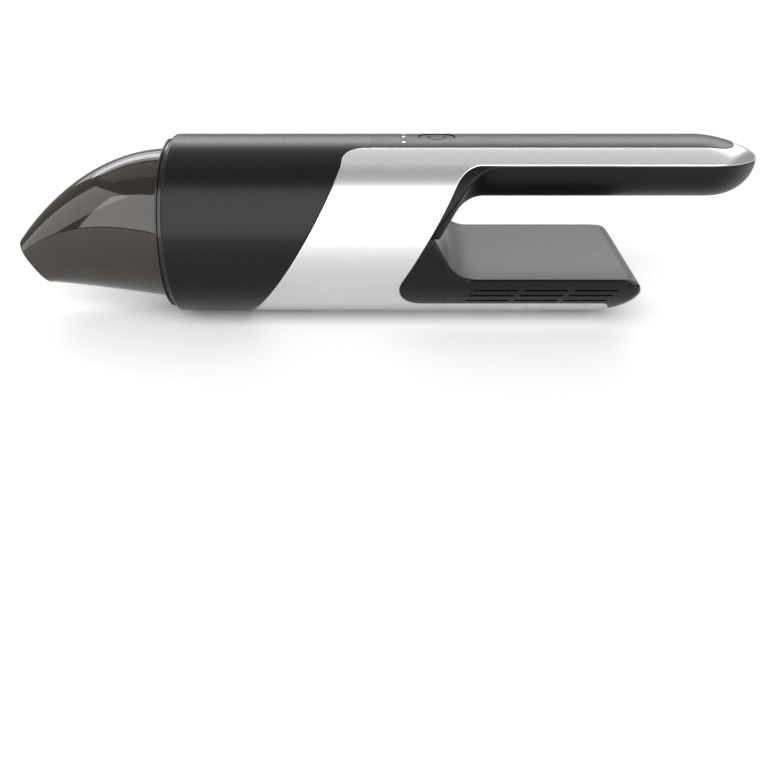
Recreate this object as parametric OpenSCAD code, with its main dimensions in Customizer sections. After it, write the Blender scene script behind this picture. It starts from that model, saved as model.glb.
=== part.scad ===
// Cordless handheld vacuum: round barrel, clear slanted nose, open grip above a rear block.
// X runs along the body with the nose at -X, and the vacuum rests on its foot pad at Z = 0.
// Heights inside the modules are measured from the barrel's axis.

/* [Body] */
// Overall length from nose tip to handle tip
total_len = 398; // [392:1:404]
// Outer diameter of the barrel
body_d = 96; // [95:0.5:97]
// Length of the clear nose in front of the barrel
nose_len = 87.2; // [84:0.2:90]
// Wall thickness of the outer shells
shell_t = 2.4; // [2:0.1:2.6]
// How far the foot pad stands out below the barrel
foot_h = 0.6; // [0.4:0.1:1]

/* [Silver shells] */
// Front edge of the silver band where it crosses the axis height
band_x = -43; // [-46:0.2:-40]
// Width of the silver band along the body
band_w = 62.5; // [60:0.1:64]
// How far the band leans back for each millimetre of height
slant_run = 0.56; // [0.5:0.01:0.6]
// Height of the seam between silver and black along the handle
parting_z = 39.7; // [38:0.1:41]
// Height of the upper edge of the silver tray under the block
tray_z = -33.4; // [-35:0.1:-32.8]
// Half width of the dark strip on the top
strip_half = 14.4; // [13:0.1:15]

/* [Handle] */
// Height of the handle's underside
grip_z = 17.5; // [15:0.5:20]
// Length of the handle's tapering end seen from above
end_round = 32; // [30:0.5:32]
// Height of the handle tip
tip_z = 35.6; // [34:0.1:37]
// How far the throat bulges back at the middle
throat_bulge = 14; // [10:0.5:16]

/* [Rear block] */
// Height of the block's top plate
block_z = -16; // [-18:0.5:-14]
// Rear end of the block
block_end = 135; // [131:0.5:138]
// Length of one vent slot
slot_len = 22.8; // [20:0.2:23]
// Height of one vent slot
slot_h = 1.1; // [0.8:0.1:1.5]

/* [Nose] */
// Radius of the nose where it leaves the barrel
nose_r = 40.5; // [40:0.1:41]
// Half width of the mouth
mouth_half = 14.5; // [13.5:0.5:18]
// Wall thickness of the clear nose
nose_t = 2; // [1.8:0.1:2.2]

/* [Moving parts] */
// Radius of the power button
button_r = 9.4; // [9:0.1:9.8]
// Radius of the motor shaft
shaft_r = 2.5; // [2.4:0.1:2.6]
// Radial clearance of a running fit
fit_gap = 0.05; // [0.03:0.01:0.08]

/* [Hidden] */
$fn = 96;
body_r = body_d / 2;
axis_h = body_r + foot_h;
x_nose = -total_len / 2;
x_end = total_len / 2;
x_front = x_nose + nose_len;
rear_x = band_x + band_w;
inner_r = body_r - shell_t;
lining_r = inner_r - 0.1;
bore_r = body_r - 5;
mouth_bore_r = body_r - 3;
bore_step_x = -72;
lining_end_x = 6;
strip_seam_x = -6;
far_x = x_end + 30;
grip_half = sqrt(pow(body_r, 2) - pow(parting_z, 2));
liner_half = grip_half - 0.15;
droop_x = x_end - 32.5;
tail_x = x_end - 27;
strip_tip_x = x_end - 14.5;
strip_round_x = strip_tip_x - 14;
strip_power = 0.9;
shell_corner_r = 12;
throat_corner_r = 15;
tray_corner_r = 11;
block_corner_r = 9;
block_round = 27;
plate_t = 2;
plate_half = 43.6;
ledge_depth = 3.6;
apex_z = 7.6;
apex_x = rear_x + slant_run * apex_z + 1.5;
ramp_r = 17.4;
button_x = 28.1;
led_x = 10.7;
led_ys = [-8, 0, 8];
socket_z = -27;
socket_r = 4.2;
screw_r = 1.4;
screw_head_r = 2.6;
screw_head_h = 1.4;
screw_len = 4.4;
screw_spots = [[84, 0, grip_z + 0.1], [148, 0, grip_z + 0.1], [104, -16, -44], [104, 16, -44]];
tray_end_x = 121;
tray_end_r = 5;
shell_screw_gap = 0.1;

// Nose, flap and cup
flange_x = x_front - 3.2;
flange_t = 1.1;
flange_r = body_r - 2.4;
nose_back_x = flange_x;
nose_tip = [x_nose, -7.8];
mouth_low = [x_nose + 16.2, -32.9];
mouth_turn = atan((mouth_low.x - nose_tip.x) / (nose_tip.y - mouth_low.y));
ring_count = 22;
ring_points = 48;
flap_t = 1.2;
flap_half = 9.5;
flap_len = 30;
flap_round = 6;
knuckle_half = 7;
pin_r = 1;
pin_x = x_nose + 13;
pin_z = -2.5;
pin_half = 10.4;
knuckle_r = 2;
boss_r = 2;
boss_len = 6.2;
sleeve_r = mouth_bore_r - 0.4;
seal_x = x_front + 5;
seal_w = 3;
seal_depth = 1.4;

// Filter
filter_back_x = -98;
filter_front_x = -134;
filter_back_r = 34;
filter_front_r = 23;
filter_flange_r = 36.8;
filter_flange_t = 3;
pleat_count = 28;

// Motor and fan
mount_x = -95.8;
diffuser_x = -90;
diffuser_r = 36;
fan_r = 30;
fan_x0 = -89;
fan_x1 = -75;
motor_r = 22;
motor_x0 = -70;
motor_x1 = -16;
motor_wall = 1.4;
stator_x0 = -58;
stator_len = 28;
magnet_r = 12;
bearing_r = 8;
bearing_len = 5;
mount_screw_r = 39.5;
mount_turns = [60, 180, 300];
passage_count = 8;
slack = 0.05;

// Battery
cell_r = 9.2;
cell_len = 65;
cell_x = 46;
cell_z = -27.9;
cell_ys = [-19, 0, 19];
foam_z0 = tray_z + 1.7;
foam_z1 = -19.8;

// Controls
board_z = 36;
board_t = 1.6;
board_x0 = 4;
board_len = 52;
board_half = 12;
plunger_h = 3.4;
press = 0.8;
button_flange_z = 43;
button_drop = 0.6;
led_r = 1;

function unit(v) = v / norm(v);

// Arc that rounds the corner b between a and c
function corner_arc(a, b, c, r, n = 8) =
    let (u = unit(a - b),
         v = unit(c - b),
         reach = r / tan(acos(u * v) / 2),
         centre = b + unit(u + v) * r / sin(acos(u * v) / 2),
         first = b + u * reach - centre,
         last = b + v * reach - centre,
         start = atan2(first.y, first.x),
         turn = atan2(last.y, last.x) - start,
         sweep = turn > 180 ? turn - 360 : turn < -180 ? turn + 360 : turn)
    [for (i = [0:n]) centre + r * [cos(start + sweep * i / n), sin(start + sweep * i / n)]];

// Quarter of a superellipse about centre c, from [c.x + a, c.y] to [c.x, c.y + b]
function quarter(c, a, b, p = 2, n = 12) =
    [for (i = [0:n]) c + [a * pow(cos(90 * i / n), 2 / p), b * pow(sin(90 * i / n), 2 / p)]];

function backwards(list) = [for (i = [len(list) - 1:-1:0]) list[i]];

// x of the silver band's bowed front edge and straight rear edge at height z
function front_edge(z) = band_x + (slant_run + 0.04) * z - 0.0016 * z * z;
function rear_edge(z) = rear_x + slant_run * z;

module rod(x0, x1, r) {
    translate([x0, 0, 0])
        rotate([0, 90, 0])
            cylinder(r = r, h = x1 - x0);
}

module tube(x0, x1, r_out, r_in) {
    difference() {
        rod(x0, x1, r_out);
        rod(x0 - 1, x1 + 1, r_in);
    }
}

// Solid of revolution about the barrel's axis from [radius, x] points
module turned(points) {
    rotate([0, 90, 0])
        rotate_extrude()
            polygon(points);
}

// Outline in x and z, carried along y
module side_prism(points, y0 = -60, y1 = 60) {
    translate([0, y1, 0])
        rotate([90, 0, 0])
            linear_extrude(y1 - y0)
                polygon(points);
}

// Outline in x and y, carried up along z
module plan_prism(points, z0 = 0, z1 = 60) {
    translate([0, 0, z0])
        linear_extrude(z1 - z0)
            polygon(points);
}

module at_axis() {
    translate([0, 0, axis_h])
        children();
}

// Top line of the drooping handle end, from the tip forwards
function droop_line(g) =
    quarter([droop_x, tip_z], x_end - g - droop_x, body_r - g - tip_z, 1.7);

// Underside of the handle end, from the level stretch to the tip
function tail_line(g) =
    [for (p = backwards(quarter([0, 0], x_end - g - tail_x, tip_z - grip_z - g, 2)))
        [tail_x + p.x, tip_z - p.y]];

// Seam between silver and black at the handle end, from the tip forwards
parting_line = [for (i = [0:8])
    [x_end + 1 - (x_end + 1 - droop_x) * i / 8,
     tip_z + (parting_z - tip_z) * sin(90 * i / 8)]];

// Rear end of the block, from its top corner down to the tray
function block_rear(g) = concat(
    corner_arc([0, block_z - g], [block_end - g, block_z - g], [block_end - g, -60],
               block_corner_r - g),
    [for (p = quarter([0, 0], block_round - g, body_r + block_z - block_corner_r - g)) if (p.y > 0)
        [block_end - block_round + p.x, block_z - block_corner_r - p.y]]);

// Height of the block's lower rear curve at x
function block_rear_z(x) =
    block_z - block_corner_r - (body_r + block_z - block_corner_r)
    * sqrt(1 - pow((x - block_end + block_round) / block_round, 2));

// Space inside the handle and its end
module handle_bar(g) {
    section = concat(
        [[liner_half - g, 60], [-liner_half + g, 60]],
        [for (i = [0:24])
            let (a = 180 * i / 24,
                 c = cos(a),
                 s = sin(a))
            [-(liner_half - g) * sign(c) * pow(abs(c), 0.87),
             parting_z - (parting_z - grip_z - g) * pow(s, 0.87)]]);
    intersection() {
        rod(lining_end_x, x_end, body_r - g);
        translate([lining_end_x, 0, 0])
            rotate([90, 0, 90])
                linear_extrude(x_end)
                    polygon(section);
        side_prism(concat([[0, grip_z + g]], tail_line(g), droop_line(g), [[0, body_r - g]]));
        plan_prism(handle_plan(g), 10);
    }
}

function handle_plan(g) = concat(
    [[0, grip_half - g], [0, -grip_half + g]],
    [for (i = [0:24])
        let (a = -90 + 180 * i / 24)
        [x_end - end_round + (end_round - g) * cos(a),
         (grip_half - g) * sign(a) * pow(abs(sin(a)), 1.8)]]);

// Slanted round column whose back forms the throat of the grip
module throat_column(g) {
    lean = atan(slant_run);
    sagitta = throat_bulge * cos(lean);
    column_r = (pow(body_r, 2) + pow(sagitta, 2)) / (2 * sagitta);
    translate([rear_x + throat_bulge - column_r / cos(lean), 0, 0])
        rotate([0, lean, 0])
            cylinder(r = column_r - g, h = 240, center = true, $fn = 180);
}

// Space inside barrel and throat
module barrel_space(g) {
    intersection() {
        rod(lining_end_x - 20, 80, body_r - g);
        throat_column(g);
    }
}

// Slope from the throat down onto the block's top plate, ending in an arc
function ramp_line(g) =
    let (back = g * (slant_run - sqrt(1 + pow(slant_run, 2))),
         top = [apex_x + back, apex_z - g],
         foot = [apex_x + back + slant_run * (apex_z - block_z), block_z - g])
    concat([top], corner_arc(top, foot, foot + [60, 0], ramp_r + g, 10));

// Side outline of the silver shells
silver_outline = concat(
    [for (z = [-62:6:64]) [front_edge(z), z]],
    [[far_x, 60], [far_x, tip_z]],
    parting_line,
    corner_arc([100, parting_z], [rear_edge(parting_z), parting_z],
               [rear_edge(0), 0], throat_corner_r),
    corner_arc([rear_edge(0), 0], [rear_edge(tray_z), tray_z], [100, tray_z], tray_corner_r),
    corner_arc([100, tray_z], [tray_end_x, tray_z], [tray_end_x, -60], tray_end_r),
    [[tray_end_x, -60]]);

// Plan of one silver shell on the upper half, where it borders the dark strip
function silver_plan(side) =
    let (corner = [front_edge(sqrt(pow(body_r, 2) - pow(strip_half, 2))), strip_half],
         shoulder = [corner.x - 3.8, strip_half + 14])
    [for (p = concat(
        [[corner.x - 41, 60], [corner.x - 41, 48], shoulder],
        corner_arc(shoulder, corner, [100, strip_half], shell_corner_r),
        backwards(quarter([strip_round_x, 0], strip_tip_x - strip_round_x, strip_half,
                          2 / strip_power)),
        [[far_x, 0], [far_x, 60]]))
        [p.x, p.y * side]];

module silver_space(side) {
    intersection() {
        side_prism(silver_outline, side > 0 ? 0 : -60, side > 0 ? 60 : 0);
        union() {
            plan_prism(silver_plan(side), 0, 60);
            translate([-150, -60, -60])
                cube([400, 120, 60]);
        }
    }
}

// Outer form of the handle's top, its end and the tray, used by both shells and the strip
module shell_form(g) {
    difference() {
        rod(x_front, x_end, body_r - g);
        side_prism(concat([[droop_x - 1, 70], [droop_x - 1, body_r - g]],
                          backwards(droop_line(g)), [[far_x, tip_z], [far_x, 70]]));
        difference() {
            translate([x_end - end_round, -60, 10])
                cube([60, 120, 60]);
            plan_prism(handle_plan(g), 0, 80);
        }
        side_prism(concat([[far_x, 10], [block_end - g, 10]],
                          [for (p = block_rear(g)) if (p.y < block_z - 8) p],
                          [[block_end - block_round, -70], [far_x, -70]]));
    }
}

module side_shell(side) {
    difference() {
        intersection() {
            difference() {
                shell_form(0);
                shell_form(shell_t);
            }
            silver_space(side);
        }
        screw_holes();
    }
}

// Room for the heads and threads of the shell screws
module screw_holes() {
    for (p = screw_spots)
        translate(p) {
            translate([0, 0, -5])
                cylinder(r = screw_head_r + 0.3, h = 5 + screw_head_h + 0.1);
            cylinder(r = screw_r + shell_screw_gap, h = screw_head_h + screw_len);
        }
}

module front_housing() {
    edge = 2.2;
    color("#1b1b1c")
    at_axis()
    difference() {
        union() {
            tube(x_front + 10, lining_end_x, lining_r, bore_r);
            difference() {
                turned(concat([[mouth_bore_r, strip_seam_x], [body_r, strip_seam_x]],
                              [for (i = [0:6])
                                  [body_r - edge + edge * cos(15 * i),
                                   x_front + edge - edge * sin(15 * i)]],
                              [[mouth_bore_r, x_front]]));
                silver_space(1);
                silver_space(-1);
            }
        }
        rod(x_front - 1, bore_step_x, mouth_bore_r);
    }
}

module side_shell_left() {
    color("#d9dadb")
    at_axis()
    side_shell(-1);
}

module side_shell_right() {
    color("#d9dadb")
    at_axis()
    side_shell(1);
}

module foot_pad() {
    pad_x0 = -45;
    pad_x1 = 92;
    ramp = 7;
    color("#cfd0d1")
    at_axis()
    difference() {
        side_prism([[pad_x0, -body_r + 2], [pad_x0, -body_r + 0.6], [pad_x0 + ramp, -axis_h],
                    [pad_x1 - ramp, -axis_h], [pad_x1, -body_r + 0.6], [pad_x1, -body_r + 2]],
                   -9, 9);
        rod(pad_x0 - 1, pad_x1 + 1, body_r + slack, $fn = 720);
    }
}

module strip_space() {
    plan_prism(concat(
        [[strip_seam_x, strip_half], [strip_seam_x, -strip_half]],
        [for (i = [0:24])
            let (a = -90 + 180 * i / 24)
            [strip_round_x + (strip_tip_x - strip_round_x) * pow(abs(cos(a)), strip_power),
             strip_half * sign(a) * pow(abs(sin(a)), strip_power)]]),
        20, 70);
}

module top_strip() {
    color("#2a2b2d")
    at_axis()
    difference() {
        intersection() {
            difference() {
                shell_form(0);
                shell_form(shell_t);
            }
            strip_space();
        }
        translate([button_x, 0, 30])
            cylinder(r = button_r + fit_gap + 0.15, h = 30);
        for (y = led_ys)
            translate([led_x, y, 30])
                cylinder(r = led_r + 0.02, h = 30, $fn = 24);
    }
}

module grip_liner() {
    // Behind the silver edge, above the block plate and below the handle seam
    region = concat(
        [[far_x, tip_z]],
        parting_line,
        corner_arc([100, parting_z], [rear_edge(parting_z), parting_z],
                   [rear_edge(0), 0], throat_corner_r),
        [[rear_edge(apex_z), apex_z]],
        ramp_line(0),
        [[far_x, block_z]]);
    bend_r = 17;
    bend_half = 16;
    bend = [rear_edge(grip_z) + throat_bulge + 0.15, grip_z - 0.1];
    color("#1d1d1e")
    at_axis()
    difference() {
        intersection() {
            side_prism(region);
            union() {
                barrel_space(0);
                handle_bar(0);
                // Round transition between throat and handle
                side_prism(concat([[bend.x - 6, bend.y + 6]],
                                  corner_arc([100, bend.y], bend,
                                             [bend.x - slant_run * 50, bend.y - 50], bend_r)),
                           -bend_half, bend_half);
            }
        }
        barrel_space(shell_t);
        handle_bar(shell_t);
        screw_holes();
    }
}

// Outline of the black part of the block
block_outline = concat(
    [[rear_edge(apex_z), apex_z]],
    ramp_line(0),
    [for (p = block_rear(0)) if (p.x > tray_end_x) p],
    [[tray_end_x, block_rear_z(tray_end_x)]],
    backwards(corner_arc([100, tray_z], [tray_end_x, tray_z], [tray_end_x, -60], tray_end_r)),
    backwards(corner_arc([rear_edge(0), 0], [rear_edge(tray_z), tray_z],
                         [100, tray_z], tray_corner_r)));

module vent_slots() {
    rows = [-22.6, -26.3, -30.4];
    row_shift = slant_run * 3.9;
    first_x = 47.7;
    column_pitch = 25.9;
    for (side = [-1, 1], row = [0:2], column = [0:2])
        translate([first_x - row * row_shift + column * column_pitch, side * 42 - 7,
                   rows[row] - slot_h / 2])
            cube([slot_len, 14, slot_h]);
}

module block_housing() {
    color("#161617")
    at_axis()
    difference() {
        union() {
            intersection() {
                rod(-10, block_end, body_r);
                side_prism(block_outline);
            }
            // Lining that carries the silver tray
            intersection() {
                rod(lining_end_x + 0.5, block_end - shell_t - 0.1, lining_r);
                side_prism(concat([[lining_end_x, tray_z + 1]],
                                  [for (p = block_rear(shell_t + 0.1)) if (p.y < tray_z) p],
                                  [[lining_end_x, -60]]));
            }
        }
        intersection() {
            union() {
                rod(-20, block_end, lining_r - 2);
                intersection() {
                    rod(-20, block_end, inner_r);
                    translate([-20, -60, tray_z + 1.6])
                        cube([180, 120, 60]);
                }
            }
            side_prism(concat([[-20, apex_z - ledge_depth]], ramp_line(ledge_depth),
                              block_rear(ledge_depth), [[-20, -60]]));
        }
        plate_recess(plate_t + 0.05, plate_half + 0.1);
        plate_recess(ledge_depth + 0.5, plate_half - 3.6);
        vent_slots();
        translate([0, 0, socket_z])
            rod(block_end - 12, block_end + 4, socket_r + 0.1);
        screw_holes();
    }
}

// Line along the plate's top, lowered by depth
function plate_line(depth) =
    [for (p = concat(ramp_line(0), [for (q = block_rear(0)) if (q.y > block_z - 3) q]))
        [p.x - (p.x < 60 ? depth / 2 : 0), p.y - depth]];

// The block's top plate
module plate_space() {
    side_prism(concat(plate_line(0), backwards(plate_line(plate_t))), -plate_half, plate_half);
}

// Opening in the block of a given depth and half width
module plate_recess(depth, half) {
    over_line = [for (p = plate_line(0)) [p.x + 1, p.y + 4]];
    side_prism(concat(over_line, backwards(plate_line(depth))), -half, half);
}

module block_top_plate() {
    color("#4a4b4d")
    at_axis()
    intersection() {
        plate_space();
        rod(0, block_end - 0.4, body_r - 0.4);
    }
}

// Upper and lower outline points of ring t, from 0 at the collar to 1 at the mouth
function nose_top(t) =
    let (s = sin(90 * t))
    [nose_back_x + (nose_tip.x - nose_back_x) * s,
     nose_tip.y + (nose_r - nose_tip.y) * pow(max(0, 1 - s * s), 0.95)];
function nose_low(t) =
    let (s = sin(90 * t))
    [nose_back_x + (mouth_low.x - nose_back_x) * s,
     -nose_r + (mouth_low.y + nose_r) * pow(s, 1.08)];
function nose_half(t) = nose_r + (mouth_half - nose_r) * pow(sin(90 * t), 1.05);
function nose_power(t) = 2 / (2 + 0.72 * pow(t, 2));

function nose_ring(t, g) =
    let (top = nose_top(t),
         low = nose_low(t),
         mid = (top + low) / 2,
         up = unit(top - low) * (norm(top - low) / 2 - g),
         half = nose_half(t) - g,
         e = nose_power(t))
    [for (i = [0:ring_points - 1])
        let (a = 360 * i / ring_points,
             c = sign(cos(a)) * pow(abs(cos(a)), e),
             s = sign(sin(a)) * pow(abs(sin(a)), e))
        [mid.x + up.x * c, half * s, mid.y + up.y * c]];

// Closed solid through a list of rings of equal length
module loft(rings) {
    n = len(rings[0]);
    last = len(rings) - 1;
    polyhedron(
        points = [for (ring = rings) each ring],
        faces = concat(
            [[for (i = [0:n - 1]) i]],
            [for (k = [0:last - 1], i = [0:n - 1])
                [k * n + i, (k + 1) * n + i, (k + 1) * n + (i + 1) % n, k * n + (i + 1) % n]],
            [[for (i = [n - 1:-1:0]) last * n + i]]));
}

function shifted(ring, v) = [for (p = ring) p + v];

module nose_outer() {
    loft([for (k = [0:ring_count]) nose_ring(k / ring_count, 0)]);
}

module nose_inner() {
    mouth_out = [-6 * cos(mouth_turn), 0, -6 * sin(mouth_turn)];
    loft(concat(
        [shifted(nose_ring(0, nose_t), [2, 0, 0])],
        [for (k = [0:ring_count]) nose_ring(k / ring_count, nose_t)],
        [shifted(nose_ring(1, nose_t), mouth_out)]));
}

module dust_cup() {
    color("#3a332c")
    at_axis()
    difference() {
        union() {
            difference() {
                nose_outer();
                nose_inner();
            }
            tube(nose_back_x - 0.2, nose_back_x + 10, nose_r - 0.15, nose_r - nose_t + 0.1);
            for (side = [-1, 1])
                translate([pin_x, side * (knuckle_half + 0.3 + boss_len / 2), pin_z])
                    rotate([90, 0, 0])
                        cylinder(r = boss_r, h = boss_len, center = true);
        }
        pin_form();
    }
}

module pin_form() {
    translate([pin_x, 0, pin_z])
        rotate([90, 0, 0])
            cylinder(r = pin_r, h = 2 * pin_half - 1, center = true);
}

module flap_pin() {
    color("#b9bcc0")
    at_axis()
    pin_form();
}

// The flap's outline, measured from its pin
flap_outline = concat(
    [[1.2, knuckle_half - 0.4], [1.2, 0.4 - knuckle_half], [6, -flap_half]],
    corner_arc([6, -flap_half], [flap_len, -flap_half], [flap_len, 0], flap_round),
    corner_arc([flap_len, 0], [flap_len, flap_half], [6, flap_half], flap_round),
    [[6, flap_half]]);

module intake_flap() {
    color("#2b2b2b")
    at_axis()
    translate([pin_x, 0, pin_z])
        difference() {
            union() {
                rotate([90, 0, 0])
                    cylinder(r = knuckle_r, h = 2 * knuckle_half, center = true);
                rotate([0, -mouth_turn, 0])
                    translate([-flap_t / 2, 0, 0])
                        rotate([0, 90, 0])
                            linear_extrude(flap_t)
                                polygon(flap_outline);
            }
            rotate([90, 0, 0])
                cylinder(r = pin_r + fit_gap, h = 2 * flap_half + 2, center = true);
        }
}

module collar_ring() {
    color("#151515")
    at_axis()
    difference() {
        turned([[nose_r, flange_x], [flange_r - 0.4, flange_x],
                [flange_r, flange_x + 0.4], [flange_r, flange_x + flange_t],
                [sleeve_r, flange_x + flange_t], [sleeve_r, x_front + 11],
                [nose_r + 1.6, x_front + 11], [nose_r + 1.6, x_front + 7.4],
                [nose_r, x_front + 7.4]]);
        // Groove for the seal
        tube(seal_x, seal_x + seal_w, sleeve_r + 1, sleeve_r - seal_depth);
    }
}

module cup_seal() {
    color("#3b3b3b")
    at_axis()
    tube(seal_x, seal_x + seal_w, mouth_bore_r - fit_gap, sleeve_r - seal_depth);
}

module filter_frame() {
    color("#2f3133")
    at_axis() {
        // Rear flange
        tube(filter_back_x - filter_flange_t, filter_back_x, filter_flange_r, filter_back_r - 4);
        // Front disc
        rod(filter_front_x, filter_front_x + 2, filter_front_r);
        // Ribs between flange and disc
        for (turn = [0:60:300])
            rotate([turn, 0, 0])
                side_prism([[filter_front_x + 1, filter_front_r - 3],
                            [filter_front_x + 1, filter_front_r],
                            [filter_back_x - 2, filter_back_r + 1],
                            [filter_back_x - 2, filter_back_r - 2]], -1, 1);
    }
}

module filter_pleats() {
    color("#e8e6df")
    at_axis()
    translate([filter_front_x + 2, 0, 0])
        rotate([90, 0, 90])
            linear_extrude(filter_back_x - filter_flange_t - filter_front_x - 2)
                difference() {
                    polygon([for (i = [0:2 * pleat_count - 1])
                        let (a = 180 * i / pleat_count,
                             r = i % 2 == 0 ? filter_front_r - 3.6 : filter_front_r - 7.6)
                        [r * cos(a), r * sin(a)]]);
                    circle(r = filter_front_r - 10);
                }
}

// Fine mesh cone over the pleats
module filter_mesh() {
    color("#a8abaf")
    at_axis()
    difference() {
        turned([[filter_front_r + 0.3, filter_front_x + 2], [filter_back_r + 1.3, filter_back_x - 3],
                [filter_back_r + 0.7, filter_back_x - 3], [filter_front_r - 0.3, filter_front_x + 2]]);
        for (turn = [0:60:300])
            rotate([turn, 0, 0])
                side_prism([[filter_front_x + 1, filter_front_r - 4],
                            [filter_front_x + 1, filter_front_r + 4],
                            [filter_back_x - 2, filter_back_r + 5],
                            [filter_back_x - 2, filter_back_r - 3]], -1.05, 1.05);
    }
}

module filter_seal() {
    color("#c8402f")
    at_axis()
    tube(filter_back_x, filter_back_x + 2, filter_flange_r - 0.3, filter_back_r - 3);
}

// Holes for the three screws that hold mount and diffuser
module mount_holes(r) {
    for (turn = mount_turns)
        rotate([turn, 0, 0])
            translate([0, 0, mount_screw_r])
                rod(mount_x - 2, diffuser_x + 6, r);
}

module motor_mount() {
    color("#3c3e40")
    at_axis()
    difference() {
        rod(mount_x, diffuser_x, mouth_bore_r - 0.1);
        rod(mount_x - 1, diffuser_x + 1, fan_r);
        rod(diffuser_x - 3, diffuser_x + 1, diffuser_r + 0.1);
        mount_holes(screw_r + 0.1);
    }
}

module diffuser() {
    color("#8c8f93")
    at_axis()
    difference() {
        union() {
            rod(diffuser_x - 3, motor_x0 + 2, diffuser_r);
            difference() {
                rod(diffuser_x, diffuser_x + 4, diffuser_r + 6);
                mount_holes(screw_r + slack);
            }
        }
        // Room for the fan, then the air path round the motor
        rod(fan_x0 - 1.5, fan_x1 + 1.5, fan_r + 1.2);
        rod(diffuser_x - 4, diffuser_x + 2, bearing_r + 5);
        difference() {
            rod(fan_x1, motor_x0 + 4, diffuser_r - 3);
            rod(fan_x1 - 1, motor_x0 + 5, motor_r + 1.6);
            for (i = [0:passage_count - 1])
                rotate([360 * i / passage_count, 0, 0])
                    translate([fan_x1 - 1, -0.8, motor_r])
                        cube([12, 1.6, 12]);
        }
        rod(fan_x1 - 1, motor_x0 + 4, bearing_r + 1);
        rod(motor_x0, motor_x0 + 4, motor_r + slack);
    }
}

module motor_can() {
    color("#9a9da2")
    at_axis()
    difference() {
        rod(motor_x0, motor_x1, motor_r);
        rod(motor_x0 + motor_wall, motor_x1 - motor_wall, motor_r - motor_wall);
        rod(motor_x0 - 1, motor_x1 + 1, bearing_r + slack);
    }
}

module stator() {
    color("#b0703a")
    at_axis()
    difference() {
        rod(stator_x0, stator_x0 + stator_len, motor_r - motor_wall - slack);
        rod(stator_x0 - 1, stator_x0 + stator_len + 1, magnet_r + 0.6);
        for (turn = [0:60:300])
            rotate([turn, 0, 0])
                translate([stator_x0 - 1, -3, 14])
                    cube([stator_len + 2, 6, 4]);
    }
}

module bearing(x0) {
    color("#c9ccd0")
    at_axis()
    tube(x0, x0 + bearing_len, bearing_r, shaft_r + fit_gap);
}

module front_bearing() {
    bearing(motor_x0 - 1);
}

module rear_bearing() {
    bearing(motor_x1 - bearing_len);
}

module rotor_shaft() {
    color("#d4d6d9")
    at_axis()
    rod(fan_x0 - 1, motor_x1 + 3, shaft_r);
}

module rotor_magnet() {
    color("#5b5d61")
    at_axis()
    tube(stator_x0 + 1, stator_x0 + stator_len - 1, magnet_r, shaft_r + 0.02);
}

module impeller() {
    blades = 9;
    color("#d8d8d6")
    at_axis()
    difference() {
        union() {
            rod(fan_x1 - 1.6, fan_x1, fan_r);
            rod(fan_x0 + 0.4, fan_x1 - 0.4, 7);
            for (i = [0:blades - 1])
                rotate([360 * i / blades, 0, 0])
                    intersection() {
                        translate([fan_x0 + 1, 0, 18])
                            rotate([0, 90, 0])
                                difference() {
                                    cylinder(r = 14, h = fan_x1 - fan_x0 - 2);
                                    translate([0, 0, -1])
                                        cylinder(r = 12.8, h = 30);
                                    translate([-30, -30, -1])
                                        cube([60, 30, 30]);
                                }
                        rod(fan_x0, fan_x1, fan_r - 0.6);
                    }
        }
        rod(fan_x0 - 5, fan_x1 + 1, shaft_r);
    }
}

module motor_gasket() {
    gasket_x = -34;
    color("#202020")
    at_axis()
    difference() {
        rod(gasket_x, gasket_x + 10, bore_r - slack);
        rod(gasket_x - 1, gasket_x + 11, motor_r + slack);
        // Air passages
        for (i = [0:passage_count - 1])
            rotate([360 * (i + 0.5) / passage_count, 0, 0])
                translate([gasket_x - 1, 0, (bore_r + motor_r) / 2 + 0.5])
                    rod(0, 12, 7);
    }
}

module battery_cells() {
    color("#2f7d5b")
    at_axis()
    for (y = cell_ys)
        translate([0, y, cell_z]) {
            rod(cell_x, cell_x + cell_len, cell_r);
            rod(cell_x + cell_len, cell_x + cell_len + 1, 3);
        }
}

module battery_holder() {
    color("#2c2c2e")
    at_axis()
    for (x = [cell_x - 3, cell_x + cell_len - 4])
        difference() {
            intersection() {
                translate([x, -26, cell_z - 8.4])
                    cube([7, 52, 17.4]);
                rod(x, x + 7, lining_r - 2.3);
            }
            for (y = cell_ys)
                translate([0, y, cell_z])
                    rod(x > cell_x ? x - 1 : cell_x, x > cell_x ? x + 5.1 : x + 8, cell_r + slack);
        }
}

module exhaust_foam() {
    color("#4d4d4d")
    at_axis()
    for (side = [-1, 1])
        intersection() {
            tube(cell_x - 6, tray_end_x + 3, inner_r - 0.1, inner_r - 1.6);
            translate([cell_x - 6, side > 0 ? 20 : -60, foam_z0])
                cube([90, 40, foam_z1 - foam_z0]);
        }
}

module main_board() {
    color("#1f5a38")
    at_axis() {
        translate([board_x0, -board_half, board_z])
            cube([board_len, 2 * board_half, board_t]);
        // Driver chips and a connector
        translate([board_x0 + 36, -6, board_z + board_t])
            cube([7, 7, 1.2]);
        translate([board_x0 + 46, 2, board_z + board_t])
            cube([4, 6, 3]);
    }
}

module tact_switch() {
    color("#303030")
    at_axis()
    translate([button_x, 0, board_z + board_t]) {
        translate([-3, -3, 0])
            cube([6, 6, 3.2]);
        cylinder(r = 1.6, h = plunger_h);
    }
}

module button_spring() {
    turns = 3.5;
    steps = 16;
    wire_r = 0.35;
    coil_r = 5.6;
    coil_z = board_z + board_t + wire_r + 0.02;
    rise = button_flange_z - coil_z - wire_r - 0.02;
    color("#c4c7cb")
    at_axis()
    translate([button_x, 0, coil_z])
        loft([for (k = [0:turns * steps])
            let (a = 360 * k / steps,
                 z = rise * k / (turns * steps))
            [for (i = [0:5])
                let (b = 60 * i)
                [(coil_r + wire_r * cos(b)) * cos(a),
                 (coil_r + wire_r * cos(b)) * sin(a),
                 z + wire_r * sin(b)]]]);
}

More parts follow.
